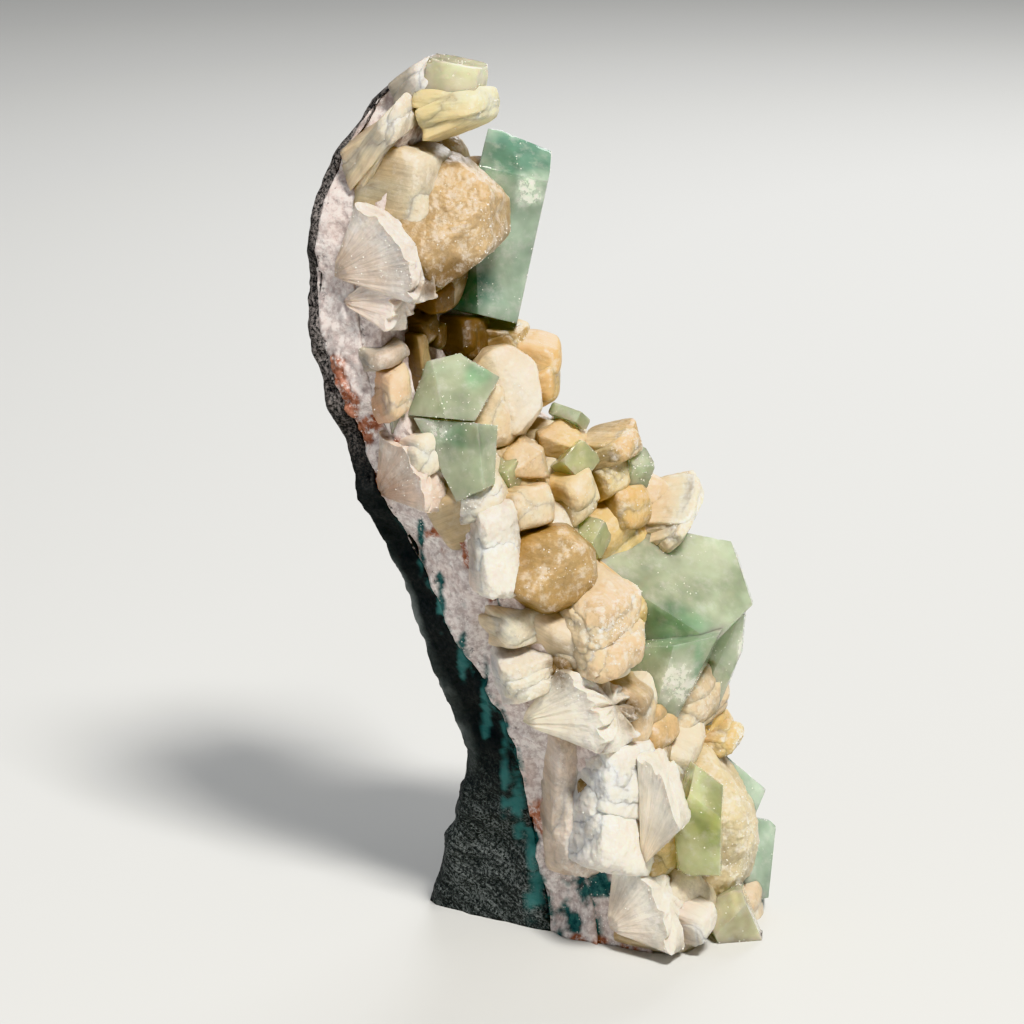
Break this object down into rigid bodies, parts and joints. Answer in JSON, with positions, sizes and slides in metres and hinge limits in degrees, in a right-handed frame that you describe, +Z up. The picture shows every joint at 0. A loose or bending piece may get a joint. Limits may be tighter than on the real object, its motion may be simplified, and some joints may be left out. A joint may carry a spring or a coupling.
{
  "type": "apophyllite cluster",
  "caption": "Free-standing natural crystal cluster: translucent green apophyllite blocks among peach stilbite sheaves, on an upright curved plate of pale rim and dark basalt with a flat foot.",
  "frame": {"origin": "on the flat foot, inside the pale rim's footprint", "axes": "+Z up from the flat foot to the crown, +X towards the crystal side, -Y towards the side the picture is taken from, where the plate's broken near edge shows"},
  "size_m": [0.0947, 0.079, 0.1806],
  "materials": {
    "basalt": "matt broken rock with fine saw streaks at the foot",
    "pale_rim": "matt, frosted and granular, with rust and teal stains",
    "stilbite": "pearly to satin, finely ribbed, with sugary sparkle",
    "apophyllite_mint": "glassy, cloudy inside",
    "apophyllite_olive": "glassy to satin, cloudy inside"
  },
  "bodies": {
    "root": {"basalt_matrix": "basalt", "pale_rim": "pale_rim", "stilbite_druse": "stilbite", "apophyllite_crown": "apophyllite_olive", "apophyllite_blade": "apophyllite_mint", "apophyllite_side": "apophyllite_mint", "apophyllite_ledge": "apophyllite_olive", "apophyllite_chip": "apophyllite_olive", "apophyllite_shoulder": "apophyllite_mint", "apophyllite_olive": "apophyllite_olive", "apophyllite_splinter": "apophyllite_mint", "apophyllite_middle_upper": "apophyllite_mint", "apophyllite_middle_lower": "apophyllite_mint", "apophyllite_great": "apophyllite_mint", "apophyllite_low": "apophyllite_olive", "apophyllite_edge_upper": "apophyllite_mint", "apophyllite_edge_lower": "apophyllite_mint", "apophyllite_foot": "apophyllite_olive"}
  },
  "joints": []
}
